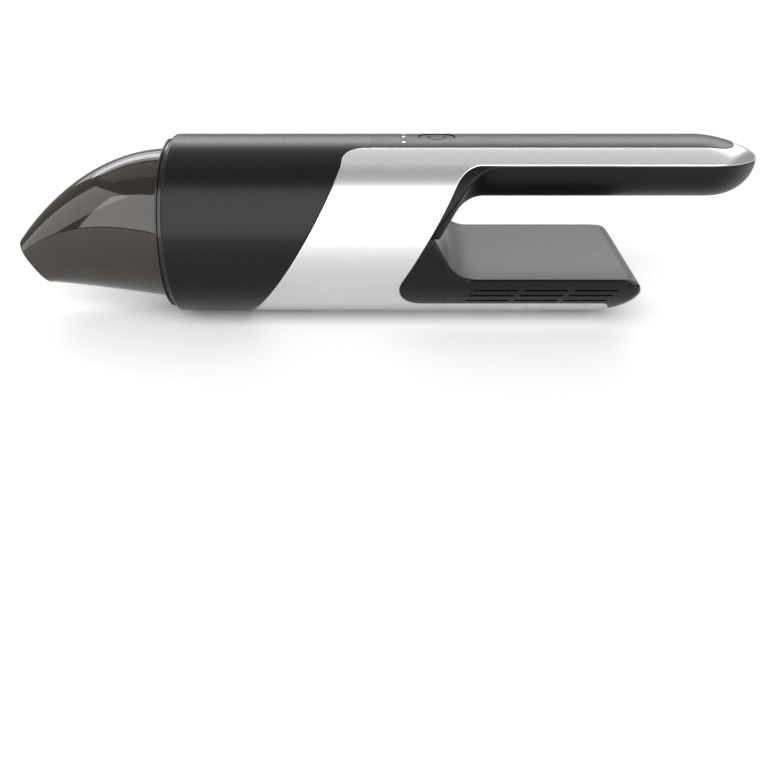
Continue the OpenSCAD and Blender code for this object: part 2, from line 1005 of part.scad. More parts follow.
module power_button() {
    stem_z = board_z + board_t + plunger_h + press + 0.1;
    color("#2c2d2f")
    at_axis()
    translate([button_x, 0, 0]) {
        intersection() {
            translate([0, 0, button_flange_z])
                cylinder(r = button_r, h = 10);
            translate([-button_x, 0, 0])
                rod(button_x - 20, button_x + 20, body_r - button_drop);
        }
        translate([0, 0, button_flange_z])
            cylinder(r = button_r + 1.1, h = 1.2);
        translate([0, 0, stem_z])
            cylinder(r = 2, h = button_flange_z - stem_z + 0.5);
    }
}

module led_lenses() {
    color("#9fd4ff")
    at_axis()
    for (y = led_ys)
        intersection() {
            translate([led_x, y, board_z + board_t + 1])
                cylinder(r = led_r, h = 20, $fn = 24);
            rod(led_x - 5, led_x + 5, body_r);
        }
}

module charge_socket() {
    color("#2a2a2a")
    at_axis()
    translate([0, 0, socket_z]) {
        difference() {
            rod(block_end - 11.5, block_end - 0.3, socket_r);
            rod(block_end - 9.5, block_end + 1, 2.8);
        }
        rod(block_end - 10, block_end - 1.5, 1);
    }
}

// Wire of radius r along a list of points
module wire(route, r) {
    last = len(route) - 1;
    loft([for (k = [0:last])
        let (before = route[max(0, k - 1)],
             after = route[min(last, k + 1)],
             t = unit(after - before),
             u = unit(cross(t, [0, 1, 0])),
             v = cross(t, u))
        [for (i = [0:7])
            route[k] + r * (cos(45 * i) * u + sin(45 * i) * v)]]);
}

module motor_leads() {
    color("#b03030")
    at_axis()
    for (y = [-5, 5])
        wire([[-16, y, 12], [-12, y, 12.4], [-8, y, 14], [-5, y, 17], [-3, y, 21],
              [-1, y, 26], [2, y, 30.5], [5, y, 33.4], [8, y, 34.6], [12, y, 35.05]], 0.9);
}

module housing_screws() {
    color("#8f9296")
    at_axis()
    for (p = screw_spots)
        translate(p) {
            difference() {
                cylinder(r = screw_head_r, h = screw_head_h);
                for (turn = [0, 90])
                    rotate([0, 0, turn])
                        translate([-1.6, -0.3, -1])
                            cube([3.2, 0.6, 1.7]);
            }
            cylinder(r = screw_r, h = screw_head_h + screw_len);
        }
}

module motor_screws() {
    color("#8f9296")
    at_axis()
    for (turn = mount_turns)
        rotate([turn, 0, 0])
            translate([0, 0, mount_screw_r]) {
                rod(mount_x - screw_head_h, mount_x, 2.4);
                rod(mount_x, diffuser_x + 4, screw_r);
            }
}

front_housing();
top_strip();
side_shell_left();
side_shell_right();
grip_liner();
block_housing();
block_top_plate();
foot_pad();
dust_cup();
collar_ring();
cup_seal();
intake_flap();
flap_pin();
filter_frame();
filter_mesh();
filter_pleats();
filter_seal();
motor_mount();
motor_gasket();
diffuser();
motor_can();
stator();
front_bearing();
rear_bearing();
rotor_shaft();
rotor_magnet();
impeller();
battery_cells();
battery_holder();
exhaust_foam();
main_board();
tact_switch();
button_spring();
power_button();
led_lenses();
charge_socket();
motor_leads();
housing_screws();
motor_screws();
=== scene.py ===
"""Looks for the cordless handheld vacuum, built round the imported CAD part."""

import math

import bpy
import numpy as np
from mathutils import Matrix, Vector, geometry


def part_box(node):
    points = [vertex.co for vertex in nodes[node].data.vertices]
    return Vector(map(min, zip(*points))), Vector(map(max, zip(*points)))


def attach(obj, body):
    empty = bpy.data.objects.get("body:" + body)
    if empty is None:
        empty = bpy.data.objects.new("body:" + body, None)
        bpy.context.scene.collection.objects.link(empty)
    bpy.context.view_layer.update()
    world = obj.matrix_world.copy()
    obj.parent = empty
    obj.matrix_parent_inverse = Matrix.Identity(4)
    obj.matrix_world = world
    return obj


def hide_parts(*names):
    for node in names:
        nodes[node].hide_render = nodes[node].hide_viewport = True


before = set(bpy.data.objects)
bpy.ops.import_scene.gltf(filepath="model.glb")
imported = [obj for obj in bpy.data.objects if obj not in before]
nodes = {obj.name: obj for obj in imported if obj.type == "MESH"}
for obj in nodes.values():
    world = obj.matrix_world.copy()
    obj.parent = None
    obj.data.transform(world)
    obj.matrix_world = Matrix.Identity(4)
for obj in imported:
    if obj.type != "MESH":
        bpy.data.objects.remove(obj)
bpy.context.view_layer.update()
scene = bpy.context.scene


# ---------------------------------------------------------------- measures, in millimetres

def box_mm(node):
    lo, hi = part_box(node)
    return np.array(lo) * 1000, np.array(hi) * 1000


UP, REARWARD = np.array([0, 0, 1.0]), np.array([1.0, 0, 0])
SKIN = 0.02
shell_lo, shell_hi = box_mm("front_housing")
AXIS_Z = (shell_lo[2] + shell_hi[2]) / 2
R = (shell_hi[2] - shell_lo[2]) / 2 - SKIN
X_FRONT = shell_lo[0] + SKIN
X_END = box_mm("side_shell_left")[1][0] - SKIN
X_NOSE = box_mm("dust_cup")[0][0] + SKIN
BAND_X, BAND_W, SLANT = -43.0, 62.5, 0.56
EDGE_LEAN, EDGE_BOW = 0.04, 0.0016
REAR_X = BAND_X + BAND_W
PARTING_Z, TRAY_Z, STRIP_HALF = 39.7, -33.4, 14.4
GRIP_Z, END_ROUND, END_POWER, TIP_Z, BULGE = 17.5, 32.0, 0.9, 35.6, 14.0
BLOCK_Z, BLOCK_END, BLOCK_CORNER, BLOCK_ROUND = -16.0, 135.0 - SKIN, 9.0, 27.0
TRAY_END_X, TRAY_END_R = 121.0, 5.0
SHELL_CORNER_R, THROAT_CORNER_R, TRAY_CORNER_R = 12.0, 15.0, 11.0
STRIP_SEAM_X, STRIP_ROUND_X, STRIP_TIP_X, STRIP_POWER = -6.0, 170.5, 184.5, 0.9
DROOP_X, TAIL_X = X_END - 32.5, X_END - 27.0
APEX_Z, RAMP_R = 7.6, 17.4
APEX_X = REAR_X + SLANT * APEX_Z + 1.5
BUTTON_X, BUTTON_R, BUTTON_DROP = 28.1, 9.4, 0.6
LED_X, LED_R, LED_YS = 10.7, 0.9, (-8.0, 0.0, 8.0)
SHELL_T = 2.4
PANEL_GAP = 0.08
GRIP_HALF = math.sqrt(R * R - PARTING_Z * PARTING_Z)
ARC0 = math.asin(GRIP_HALF / R)
V_MAX = GRIP_HALF + R * (math.pi - ARC0)


# ---------------------------------------------------------------- small tools

SAME_POINT = 1e-4


def unit(v):
    v = np.asarray(v, float)
    return v / np.maximum(np.linalg.norm(v, axis=-1, keepdims=True), 1e-12)


def corner_arc(a, b, c, r, n=12):
    """Arc of radius r that rounds the corner b between a and c."""
    a, b, c = (np.asarray(p, float) for p in (a, b, c))
    u, v = unit(a - b), unit(c - b)
    half = math.acos(float(np.clip(u @ v, -1, 1))) / 2
    centre = b + unit(u + v) * r / math.sin(half)
    first, last = b + u * r / math.tan(half) - centre, b + v * r / math.tan(half) - centre
    start = math.atan2(first[1], first[0])
    turn = math.atan2(last[1], last[0]) - start
    turn = (turn + math.pi) % (2 * math.pi) - math.pi
    return [centre + r * np.array([math.cos(start + turn * i / n), math.sin(start + turn * i / n)])
            for i in range(n + 1)]


def front_edge(z):
    """x of the silver band's bowed front edge at height z."""
    return BAND_X + (SLANT + EDGE_LEAN) * z - EDGE_BOW * z * z


def rear_edge(z):
    """x of the silver band's straight rear edge at height z."""
    return REAR_X + SLANT * z


def end_taper(x):
    """Half width of the handle's end at x, as a share of the handle's own."""
    return np.clip(1 - np.clip((x - X_END + END_ROUND) / END_ROUND, 0, 1) ** 2, 1e-9, 1) ** END_POWER


def seam_z(x):
    """Height of the seam between the handle's silver top and its black underside, dipping at the end."""
    share = np.clip((X_END + 1 - x) / (X_END + 1 - DROOP_X), 0, 1)
    dip = TIP_Z + (PARTING_Z - TIP_Z) * np.sin(np.radians(90) * share)
    return np.where(x > DROOP_X, dip, PARTING_Z)


def v_of_z(z):
    """Distance round the barrel from its top line to height z; plan distance as far as the handle's seam."""
    z = np.clip(z, -R, R)
    a = np.arccos(z / R)
    return np.where(a < ARC0, R * np.sin(a), GRIP_HALF + R * (a - ARC0))


def z_of_v(v):
    v = np.abs(v)
    a = np.where(v < GRIP_HALF, np.arcsin(np.clip(v / R, -1, 1)), ARC0 + (v - GRIP_HALF) / R)
    return R * np.cos(a)


def dense(loop, gap):
    """The closed loop with long stretches divided."""
    loop = [np.asarray(p, float) for p in loop]
    keep = [loop[0]]
    for p in loop[1:] + [loop[0]]:
        reach = np.linalg.norm(p - keep[-1])
        if reach < SAME_POINT:
            continue
        steps = max(1, int(math.ceil(reach / gap)))
        last = keep[-1]
        keep += [last + (p - last) * i / steps for i in range(1, steps + 1)]
    if np.linalg.norm(keep[-1] - keep[0]) < SAME_POINT:
        keep.pop()
    return np.array(keep)


def turn_sense(loop):
    """Above zero for a loop that runs anticlockwise."""
    x, y = loop[:, 0], loop[:, 1]
    return float(np.sum(x * np.roll(y, -1) - np.roll(x, -1) * y))


def inside(points, loop):
    """Which points lie inside the loop."""
    x, y = points[:, 0][:, None], points[:, 1][:, None]
    ax, ay = loop[:, 0][None], loop[:, 1][None]
    bx, by = np.roll(loop[:, 0], -1)[None], np.roll(loop[:, 1], -1)[None]
    crosses = (ay > y) != (by > y)
    at = ax + (y - ay) * (bx - ax) / np.where(by == ay, 1e-9, by - ay)
    return np.sum(crosses & (x < at), axis=1) % 2 == 1


def far_from(points, loop, reach):
    """Which points are further than reach from the loop's corners."""
    gap = np.full(len(points), 1e9)
    for p in loop:
        gap = np.minimum(gap, np.hypot(points[:, 0] - p[0], points[:, 1] - p[1]))
    return gap > reach


def to_frame(points):
    """From millimetres about the barrel's axis to metres in the part's frame."""
    p = np.array(points, float)
    p[:, 2] += AXIS_Z
    return p * 0.001


def make(name, points, faces, normals=None):
    """A smooth mesh object from points in millimetres about the barrel's axis."""
    mesh = bpy.data.meshes.new(name)
    mesh.from_pydata(to_frame(points).tolist(), [], [tuple(int(i) for i in f) for f in faces])
    mesh.polygons.foreach_set("use_smooth", [True] * len(mesh.polygons))
    mesh.update()
    if normals is not None:
        mesh.normals_split_custom_set_from_vertices(unit(normals).tolist())
    piece = bpy.data.objects.new(name, mesh)
    scene.collection.objects.link(piece)
    return piece


# ---------------------------------------------------------------- outer surfaces

def slopes(surface, u, v, h=0.02):
    """Unit normals of the surface, from its slope along u and v."""
    du = surface(u + h, v) - surface(u - h, v)
    dv = surface(u, v + h) - surface(u, v - h)
    return unit(np.cross(du, dv))


def shell_surface(x, v):
    """Outer surface of barrel, handle top and tray at x and distance v round the barrel."""
    x, v = np.asarray(x, float), np.asarray(v, float)
    side, v = np.where(v < 0, -1.0, 1.0), np.abs(v)
    x = np.minimum(x, X_END - 1e-5)
    angle = np.where(v < GRIP_HALF, np.arcsin(np.clip(v / R, 0, 1)), ARC0 + (v - GRIP_HALF) / R)
    y, z = R * np.sin(angle), R * np.cos(angle)
    # Handle end: one smooth cap between the drooping top line and the dipping seam
    t = np.clip((x - DROOP_X) / (X_END - DROOP_X), 0, 1)
    top = TIP_Z + (R - TIP_Z) * (1 - t ** 1.7) ** (1 / 1.7)
    seam = seam_z(x)
    half = GRIP_HALF * end_taper(x)
    share = np.clip(v / half, 0, 1.0)
    crown = (np.sqrt(R * R - (GRIP_HALF * share) ** 2) - PARTING_Z) / (R - PARTING_Z)
    cap = (x > DROOP_X) & (v <= GRIP_HALF + 1)
    y = np.where(cap, np.minimum(v, half), y)
    z = np.where(cap, seam + (top - seam) * crown, z)
    # Tray end: the underside rises towards the rear
    rise = BLOCK_Z - BLOCK_CORNER - (R + BLOCK_Z - BLOCK_CORNER) * np.sqrt(
        1 - np.clip((x - BLOCK_END + BLOCK_ROUND) / BLOCK_ROUND, 0, 1) ** 2)
    under = (~cap) & (x > BLOCK_END - BLOCK_ROUND) & (v > GRIP_HALF)
    k = 1.0
    blend = np.clip(0.5 + 0.5 * (rise - z) / k, 0, 1)
    z = np.where(under, z * (1 - blend) + rise * blend + k * blend * (1 - blend) * 0.5, z)
    return np.stack([x + 0 * y, side * y, z + 0 * x], -1)


def block_profile_x(z):
    """x of the block's rear outline at height z."""
    z = np.asarray(z, float)
    level = BLOCK_Z - BLOCK_CORNER
    upper = BLOCK_END - BLOCK_CORNER + np.sqrt(np.clip(BLOCK_CORNER ** 2 - (z - level) ** 2, 0, None))
    depth = R + level
    lower = BLOCK_END - BLOCK_ROUND + BLOCK_ROUND * np.sqrt(np.clip(1 - ((level - z) / depth) ** 2, 0, None))
    return np.where(z > level, upper, lower)


REAR_ROUND = 4.0


def block_lengths(z):
    """(half width, rear x, corner radius) of the block at height z."""
    half = np.sqrt(np.clip(R * R - z * z, 1, None))
    radius = np.minimum(REAR_ROUND + 0.5 * np.clip(BLOCK_Z - BLOCK_CORNER - z, 0, 14), half * 0.6)
    return half, block_profile_x(np.minimum(z, BLOCK_Z - 0.4)), radius


def block_t(x, z):
    """Distance round the block from the middle of its rear to x on its side."""
    half, rear, radius = block_lengths(z)
    return half - radius + math.pi / 2 * radius + rear - radius - x


def block_surface(t, v):
    """Side and rear of the block: t runs from the middle of the rear along either side."""
    t, v = np.asarray(t, float), np.asarray(v, float)
    z = z_of_v(v) + 0 * t
    half, rear, radius = block_lengths(z)
    side, t = np.where(t < 0, -1.0, 1.0), np.abs(t)
    flat = half - radius
    turn = np.clip((t - flat) / radius, 0, math.pi / 2)
    past = np.clip(t - flat - math.pi / 2 * radius, 0, None)
    y = np.minimum(t, flat) + radius * np.sin(turn)
    x = rear - radius + radius * np.cos(turn) - past
    return np.stack([x, side * y, z], -1)


RAMP_FOOT = np.array([APEX_X + SLANT * (APEX_Z - BLOCK_Z), BLOCK_Z])
RAMP = [np.array([APEX_X, APEX_Z]) + (RAMP_FOOT - [APEX_X, APEX_Z]) * k for k in np.linspace(0, 0.6, 16)]
RAMP += corner_arc([APEX_X, APEX_Z], RAMP_FOOT, RAMP_FOOT + [60, 0], RAMP_R, 24)
PLATE_LINE = np.array(RAMP + [p for p in corner_arc([0, BLOCK_Z], [BLOCK_END, BLOCK_Z], [BLOCK_END, -60],
                                                    BLOCK_CORNER, 40)])
PLATE_S = np.concatenate([[0], np.cumsum(np.linalg.norm(np.diff(PLATE_LINE, axis=0), axis=1))])


def plate_surface(s, y):
    """The plate: s runs along its line from the top of the ramp to the rear, y across it."""
    s, y = np.asarray(s, float), np.asarray(y, float)
    x, z = np.interp(s, PLATE_S, PLATE_LINE[:, 0]), np.interp(s, PLATE_S, PLATE_LINE[:, 1])
    return np.stack([x, y + 0 * s, z], -1)


def button_surface(x, y):
    """Surface of the button, a little below the strip."""
    x, y = np.asarray(x, float), np.asarray(y, float)
    r = R - BUTTON_DROP
    return np.stack([x + 0 * y, y + 0 * x, np.sqrt(r * r - y * y) + 0 * x], -1)


EDGE_RINGS = 7
PROBE = 0.25


def edge_rings(loop, at, normal, size, depth, gap):
    """A rounded edge along a loop: rings of (points, normals), the lowest first, and the top ring's plan."""
    ahead, behind = np.roll(loop, -1, 0) - loop, loop - np.roll(loop, 1, 0)
    along = unit(unit(ahead) + unit(behind))
    inward = np.stack([-along[:, 1], along[:, 0]], -1)
    square = np.stack([-unit(ahead)[:, 1], unit(ahead)[:, 0]], -1)
    spread = 1 / np.maximum(np.abs(np.sum(inward * square, -1)), 0.6)
    metric = np.linalg.norm(at(loop + inward * PROBE) - at(loop), axis=-1) / PROBE
    reach = spread / np.maximum(metric, 0.3)
    edge = loop + inward * (gap * reach)[:, None]
    outward = -unit(at(edge + inward * PROBE) - at(edge))
    n = normal(edge)
    o = unit(outward - n * np.sum(outward * n, -1)[:, None])
    rings = [(at(edge) - n * depth, o)]
    for phi in np.radians(np.linspace(0, 90, EDGE_RINGS)):
        q = edge + inward * (size * (1 - math.cos(phi)) * reach)[:, None]
        n = normal(q)
        o = unit(outward - n * np.sum(outward * n, -1)[:, None])
        sunk = at(q) - n * (size * (1 - math.sin(phi)))[:, None]
        rings.append((sunk, math.cos(phi) * o + math.sin(phi) * n))
    return rings, q


def grid_within(loops, xs, ys):
    """Grid points inside the first loop and outside the others, clear of them all."""
    lo, hi = loops[0].min(0), loops[0].max(0)
    xs, ys = xs[(xs > lo[0]) & (xs < hi[0])], ys[(ys > lo[1]) & (ys < hi[1])]
    gx, gy = np.meshgrid(xs, ys, indexing="ij")
    grid = np.stack([gx.ravel(), gy.ravel()], -1)
    grid = grid[inside(grid, loops[0])]
    grid = grid[far_from(grid, loops[0], 0.7)]
    for hole in loops[1:]:
        grid = grid[~inside(grid, hole)]
        grid = grid[far_from(grid, hole, 0.7)]
    return grid


def fill_between(loops, grid):
    """Triangles that join the loops and the grid's points, numbered in that order; holes stay open."""
    flat, edges = [], []
    for loop in loops:
        base, m = len(flat), len(loop)
        flat += [Vector(p) for p in loop]
        edges += [(base + j, base + (j + 1) % m) for j in range(m)]
    flat += [Vector(p) for p in grid]
    verts, _, tris, origin, _, _ = geometry.delaunay_2d_cdt(flat, edges, [], 1, 1e-7)
    back = [o[0] if o else None for o in origin]
    kept, centres = [], []
    for tri in tris:
        ids = [back[i] for i in tri]
        if None in ids or len(set(ids)) < 3:
            continue
        kept.append(ids)
        centres.append(np.mean([[verts[i][0], verts[i][1]] for i in tri], axis=0))
    if kept and len(loops) > 1:
        bad = np.zeros(len(kept), bool)
        for hole in loops[1:]:
            bad |= inside(np.array(centres), hole)
        kept = [ids for ids, b in zip(kept, bad) if not b]
    return kept, np.array([np.array(p) for p in flat])


def turned_to(faces, points, normals):
    """The faces, each turned the way its normals point."""
    turned = []
    for f in faces:
        p = points[list(f)]
        g = np.cross(p[1] - p[0], p[2] - p[0])
        turned.append(f if g @ normals[list(f)].sum(0) >= 0 else tuple(reversed(f)))
    return turned


def panel(name, surface, outline, holes=(), r=0.5, depth=SHELL_T, columns=None, rows=None, radii=None,
          gap=PANEL_GAP, step=2.5, out=None):
    """A thin closed shell over an outline on a surface, with rounded edges and true normals."""
    loops = [dense(outline, step)] + [dense(h, 1.0) for h in holes]
    loops[0] = loops[0] if turn_sense(loops[0]) > 0 else loops[0][::-1]
    for i in range(1, len(loops)):
        loops[i] = loops[i] if turn_sense(loops[i]) < 0 else loops[i][::-1]

    def at(q):
        return surface(q[:, 0], q[:, 1])

    probe = loops[0].mean(0)[None]
    n0, p0 = slopes(surface, probe[:, 0], probe[:, 1])[0], at(probe)[0]
    facing = n0 @ out if out is not None else n0[1] * p0[1] + n0[2] * p0[2]
    flip = 1.0 if facing > 0 else -1.0

    def normal(q):
        return slopes(surface, q[:, 0], q[:, 1]) * flip

    points, normals, faces, tops, starts = [], [], [], [], []
    count = 0
    for loop in loops:
        size = np.full(len(loop), r)
        if radii is not None and loop is loops[0]:
            size = np.array([radii(p) for p in loop])
        rings, top = edge_rings(loop, at, normal, np.minimum(size, depth * 0.95), depth, gap)
        m = len(loop)
        points += [p for p, _ in rings]
        normals += [n for _, n in rings]
        for i in range(EDGE_RINGS):
            a, b = count + i * m, count + (i + 1) * m
            faces += [(a + j, a + (j + 1) % m, b + (j + 1) % m, b + j) for j in range(m)]
        tops.append(top)
        starts.append(count + EDGE_RINGS * m)
        count += len(rings) * m
    lo, hi = tops[0].min(0), tops[0].max(0)
    xs = columns if columns is not None else np.arange(lo[0], hi[0], step)
    ys = rows if rows is not None else np.arange(lo[1], hi[1], 2.0)
    grid = grid_within(tops, xs, ys)
    index = [start + j for top, start in zip(tops, starts) for j in range(len(top))]
    index += [count + j for j in range(len(grid))]
    if len(grid):
        points.append(at(grid))
        normals.append(normal(grid))
        count += len(grid)
    triangles, plan = fill_between(tops, grid)
    faces += [tuple(index[i] for i in ids) for ids in triangles]
    # Underside, one depth below
    used = sorted({index[i] for ids in triangles for i in ids})
    place = dict(zip(index, plan))
    under_q = np.array([place[i] for i in used])
    under_n = normal(under_q)
    under = {i: count + j for j, i in enumerate(used)}
    points.append(at(under_q) - under_n * depth)
    normals.append(-under_n)
    faces += [tuple(under[index[i]] for i in reversed(ids)) for ids in triangles]
    for top, start in zip(tops, starts):
        m = len(top)
        low = start - EDGE_RINGS * m
        faces += [(under[start + j], under[start + (j + 1) % m], low + (j + 1) % m, low + j)
                  for j in range(m) if start + j in under and start + (j + 1) % m in under]
    all_points, all_normals = np.concatenate(points), np.concatenate(normals)
    return make(name, all_points, turned_to(faces, all_points, all_normals), all_normals)


def lathe(name, profile, turns=160, sharp=28):
    """A ring turned about the barrel's axis from (x, radius) points; the profile closes on itself."""
    ring = np.array(profile, float)
    n = len(ring)
    points, faces = [], []
    for k in range(turns):
        a = 2 * math.pi * k / turns
        points += [(x, r * math.sin(a), r * math.cos(a)) for x, r in ring]
    for k in range(turns):
        a, b = k * n, ((k + 1) % turns) * n
        faces += [(a + i, a + (i + 1) % n, b + (i + 1) % n, b + i) for i in range(n)]
    piece = make(name, points, faces)
    turn_out(piece)
    piece.data.set_sharp_from_angle(angle=math.radians(sharp))
    return piece


def turn_out(piece):
    """Face normals pointing out of a closed mesh."""
    import bmesh
    work = bmesh.new()
    work.from_mesh(piece.data)
    bmesh.ops.recalc_face_normals(work, faces=work.faces)
    work.to_mesh(piece.data)
    work.free()


def round_outline(cx, cy, r, count):
    return [np.array([cx + r * math.cos(a), cy + r * math.sin(a)])
            for a in 2 * np.pi * np.arange(count) / count]


def soft_corners(points, r, n):
    """The closed outline with every corner rounded to r, or less where an edge is short."""
    pts = [np.asarray(p, float) for p in points]
    made = []
    for i, b in enumerate(pts):
        a, c = pts[i - 1], pts[(i + 1) % len(pts)]
        u, v = unit(a - b), unit(c - b)
        angle = math.acos(float(np.clip(u @ v, -1, 1)))
        if angle > math.radians(172):
            made.append(b)
            continue
        reach = min(np.linalg.norm(a - b), np.linalg.norm(c - b)) * 0.48
        size = min(r, reach * math.tan(angle / 2))
        made += corner_arc(a, b, c, size, n)
    return made


def put(piece, body, material, stands_for=()):
    """Gives the piece its material and body, and hides the CAD nodes that it stands for."""
    piece.data.materials.clear()
    piece.data.materials.append(material)
    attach(piece, body)
    if stands_for:
        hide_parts(*stands_for)
    return piece


# ---------------------------------------------------------------- materials

def finish_material(name, colour, rough, metal=0.0, grain=0.0, grain_size=0.0006, wear=0.06, shade=0.12,
                    shade_size=0.02, coat=0.0, spec=0.5, stretch=(1, 1, 1), glow=None, see_through=0.0):
    """A moulded or metal finish: soft shade changes, uneven gloss and a fine surface grain."""
    m = bpy.data.materials.new(name)
    m.use_nodes = True
    tree = m.node_tree
    tree.nodes.clear()
    new, link = tree.nodes.new, tree.links.new
    out, shader = new("ShaderNodeOutputMaterial"), new("ShaderNodeBsdfPrincipled")
    link(shader.outputs[0], out.inputs[0])
    place, fit = new("ShaderNodeTexCoord"), new("ShaderNodeMapping")
    fit.inputs["Scale"].default_value = stretch
    link(place.outputs["Object"], fit.inputs[0])
    broad, fine = new("ShaderNodeTexNoise"), new("ShaderNodeTexNoise")
    broad.inputs["Scale"].default_value = 1 / shade_size
    broad.inputs["Detail"].default_value = 5
    fine.inputs["Scale"].default_value = 1 / grain_size
    fine.inputs["Detail"].default_value = 2
    link(fit.outputs[0], broad.inputs["Vector"])
    link(fit.outputs[0], fine.inputs["Vector"])
    tone = new("ShaderNodeMix")
    tone.data_type = "RGBA"
    c = np.array(colour)
    tone.inputs["A"].default_value = (*(c * (1 - shade)), 1)
    tone.inputs["B"].default_value = (*np.minimum(c * (1 + shade), 1), 1)
    link(broad.outputs["Fac"], tone.inputs["Factor"])
    link(tone.outputs["Result"], shader.inputs["Base Color"])
    gloss = new("ShaderNodeMapRange")
    gloss.inputs["To Min"].default_value = max(0.02, rough - wear)
    gloss.inputs["To Max"].default_value = min(1, rough + wear)
    smear = new("ShaderNodeTexNoise")
    smear.inputs["Scale"].default_value = 2.3 / shade_size
    smear.inputs["Detail"].default_value = 6
    link(fit.outputs[0], smear.inputs["Vector"])
    link(smear.outputs["Fac"], gloss.inputs["Value"])
    link(gloss.outputs["Result"], shader.inputs["Roughness"])
    if grain:
        bump = new("ShaderNodeBump")
        bump.inputs["Strength"].default_value = grain
        bump.inputs["Distance"].default_value = grain_size * 0.15
        link(fine.outputs["Fac"], bump.inputs["Height"])
        link(bump.outputs["Normal"], shader.inputs["Normal"])
    shader.inputs["Metallic"].default_value = metal
    shader.inputs["Specular IOR Level"].default_value = spec
    shader.inputs["Coat Weight"].default_value = coat
    shader.inputs["Coat Roughness"].default_value = 0.08
    shader.inputs["IOR"].default_value = 1.5
    shader.inputs["Transmission Weight"].default_value = see_through
    if glow:
        shader.inputs["Emission Color"].default_value = (*glow[0], 1)
        shader.inputs["Emission Strength"].default_value = glow[1]
    return m


MAT = {
    "black_shell": finish_material("black_satin", (0.003, 0.003, 0.0032), 0.27, grain=0.05, shade=0.18,
                                   wear=0.03, spec=0.17),
    "strip_plastic": finish_material("strip_satin", (0.007, 0.0072, 0.0076), 0.28, grain=0.04, shade=0.12,
                                     wear=0.03, spec=0.15),
    "silver_shell": finish_material("silver_satin", (0.53, 0.535, 0.54), 0.27, metal=0.92, wear=0.012,
                                    shade=0.015, shade_size=0.03),
    "grip": finish_material("grip_satin", (0.003, 0.003, 0.0032), 0.36, grain=0.08, shade=0.2, spec=0.14),
    "plate_plastic": finish_material("plate_satin", (0.03, 0.0305, 0.032), 0.32, grain=0.03, shade=0.03,
                                     spec=0.25),
    "collar_black": finish_material("collar_gloss", (0.006, 0.006, 0.006), 0.2, spec=0.35),
    "smoked_clear": finish_material("smoked_nose", (0.02, 0.0145, 0.0095), 0.035, see_through=0.5, wear=0.01,
                                    shade=0.04, spec=0.36),
    "rubber_black": finish_material("rubber", (0.018, 0.018, 0.018), 0.62, grain=0.4, shade=0.2),
    "pad": finish_material("pad_grey", (0.46, 0.465, 0.47), 0.5, grain=0.25, shade=0.06),
    "filter_plastic": finish_material("filter_frame", (0.03, 0.031, 0.033), 0.45, grain=0.15),
    "steel_mesh": finish_material("steel_mesh", (0.42, 0.43, 0.44), 0.35, metal=1, grain=0.9,
                                  grain_size=0.0005),
    "filter_media": finish_material("filter_media", (0.75, 0.73, 0.68), 0.85, grain=0.7, shade=0.08),
    "seal_red": finish_material("seal_red", (0.45, 0.06, 0.035), 0.55, grain=0.2),
    "motor_plastic": finish_material("motor_plastic", (0.03, 0.031, 0.033), 0.5, grain=0.15),
    "motor_metal": finish_material("motor_metal", (0.5, 0.51, 0.53), 0.32, metal=1, grain=0.1,
                                   stretch=(1, 6, 6)),
    "diffuser_metal": finish_material("diffuser_metal", (0.42, 0.43, 0.45), 0.4, metal=0.9, grain=0.2),
    "copper": finish_material("copper", (0.65, 0.28, 0.12), 0.32, metal=1, grain=0.8, grain_size=0.001,
                              stretch=(8, 1, 1)),
    "bearing_steel": finish_material("bearing_steel", (0.62, 0.63, 0.65), 0.2, metal=1),
    "magnet": finish_material("magnet", (0.16, 0.165, 0.18), 0.3, metal=0.9),
    "fan_plastic": finish_material("fan_plastic", (0.62, 0.62, 0.6), 0.45, grain=0.1),
    "cell_wrap": finish_material("cell_wrap", (0.04, 0.22, 0.13), 0.3, coat=0.3),
    "foam": finish_material("foam", (0.03, 0.03, 0.031), 0.95, grain=1.0, grain_size=0.0012, shade=0.35),
    "board_green": finish_material("board", (0.02, 0.12, 0.06), 0.35, coat=0.3, shade=0.25, shade_size=0.004),
    "switch_black": finish_material("switch", (0.02, 0.02, 0.02), 0.4),
    "led_blue": finish_material("led", (0.75, 0.85, 1.0), 0.25, glow=((0.45, 0.68, 1.0), 2.2)),
    "wire_red": finish_material("wire", (0.4, 0.03, 0.02), 0.4),
    "screw_steel": finish_material("screw", (0.35, 0.36, 0.38), 0.3, metal=1, grain=0.2),
    "steel": finish_material("steel", (0.6, 0.61, 0.63), 0.22, metal=1, grain=0.1),
}
CAD_FINISH = {
    "foot_pad": "pad", "cup_seal": "rubber_black", "intake_flap": "rubber_black", "flap_pin": "steel",
    "filter_frame": "filter_plastic", "filter_mesh": "steel_mesh", "filter_pleats": "filter_media",
    "filter_seal": "seal_red", "motor_mount": "motor_plastic", "motor_gasket": "rubber_black",
    "diffuser": "diffuser_metal", "motor_can": "motor_metal", "stator": "copper",
    "front_bearing": "bearing_steel", "rear_bearing": "bearing_steel", "rotor_shaft": "bearing_steel",
    "rotor_magnet": "magnet", "impeller": "fan_plastic", "battery_cells": "cell_wrap",
    "battery_holder": "motor_plastic", "exhaust_foam": "foam", "main_board": "board_green",
    "tact_switch": "switch_black", "button_spring": "steel", "charge_socket": "switch_black",
    "motor_leads": "wire_red", "housing_screws": "screw_steel", "motor_screws": "screw_steel",
}
for node_name, finish_name in CAD_FINISH.items():
    node = nodes[node_name]
    node.data.materials.clear()
    node.data.materials.append(MAT[finish_name])


# ---------------------------------------------------------------- silver shells and strip

STRIP_TOP = math.sqrt(R * R - STRIP_HALF ** 2)
CORNER = np.array([front_edge(STRIP_TOP), STRIP_HALF])
SHOULDER = CORNER + [-3.8, 14]
FAR_X = 100


def side_points(points):
    """Outline points given as x and height, as x and distance round the barrel."""
    return [np.array([p[0], float(v_of_z(p[1]))]) for p in points]


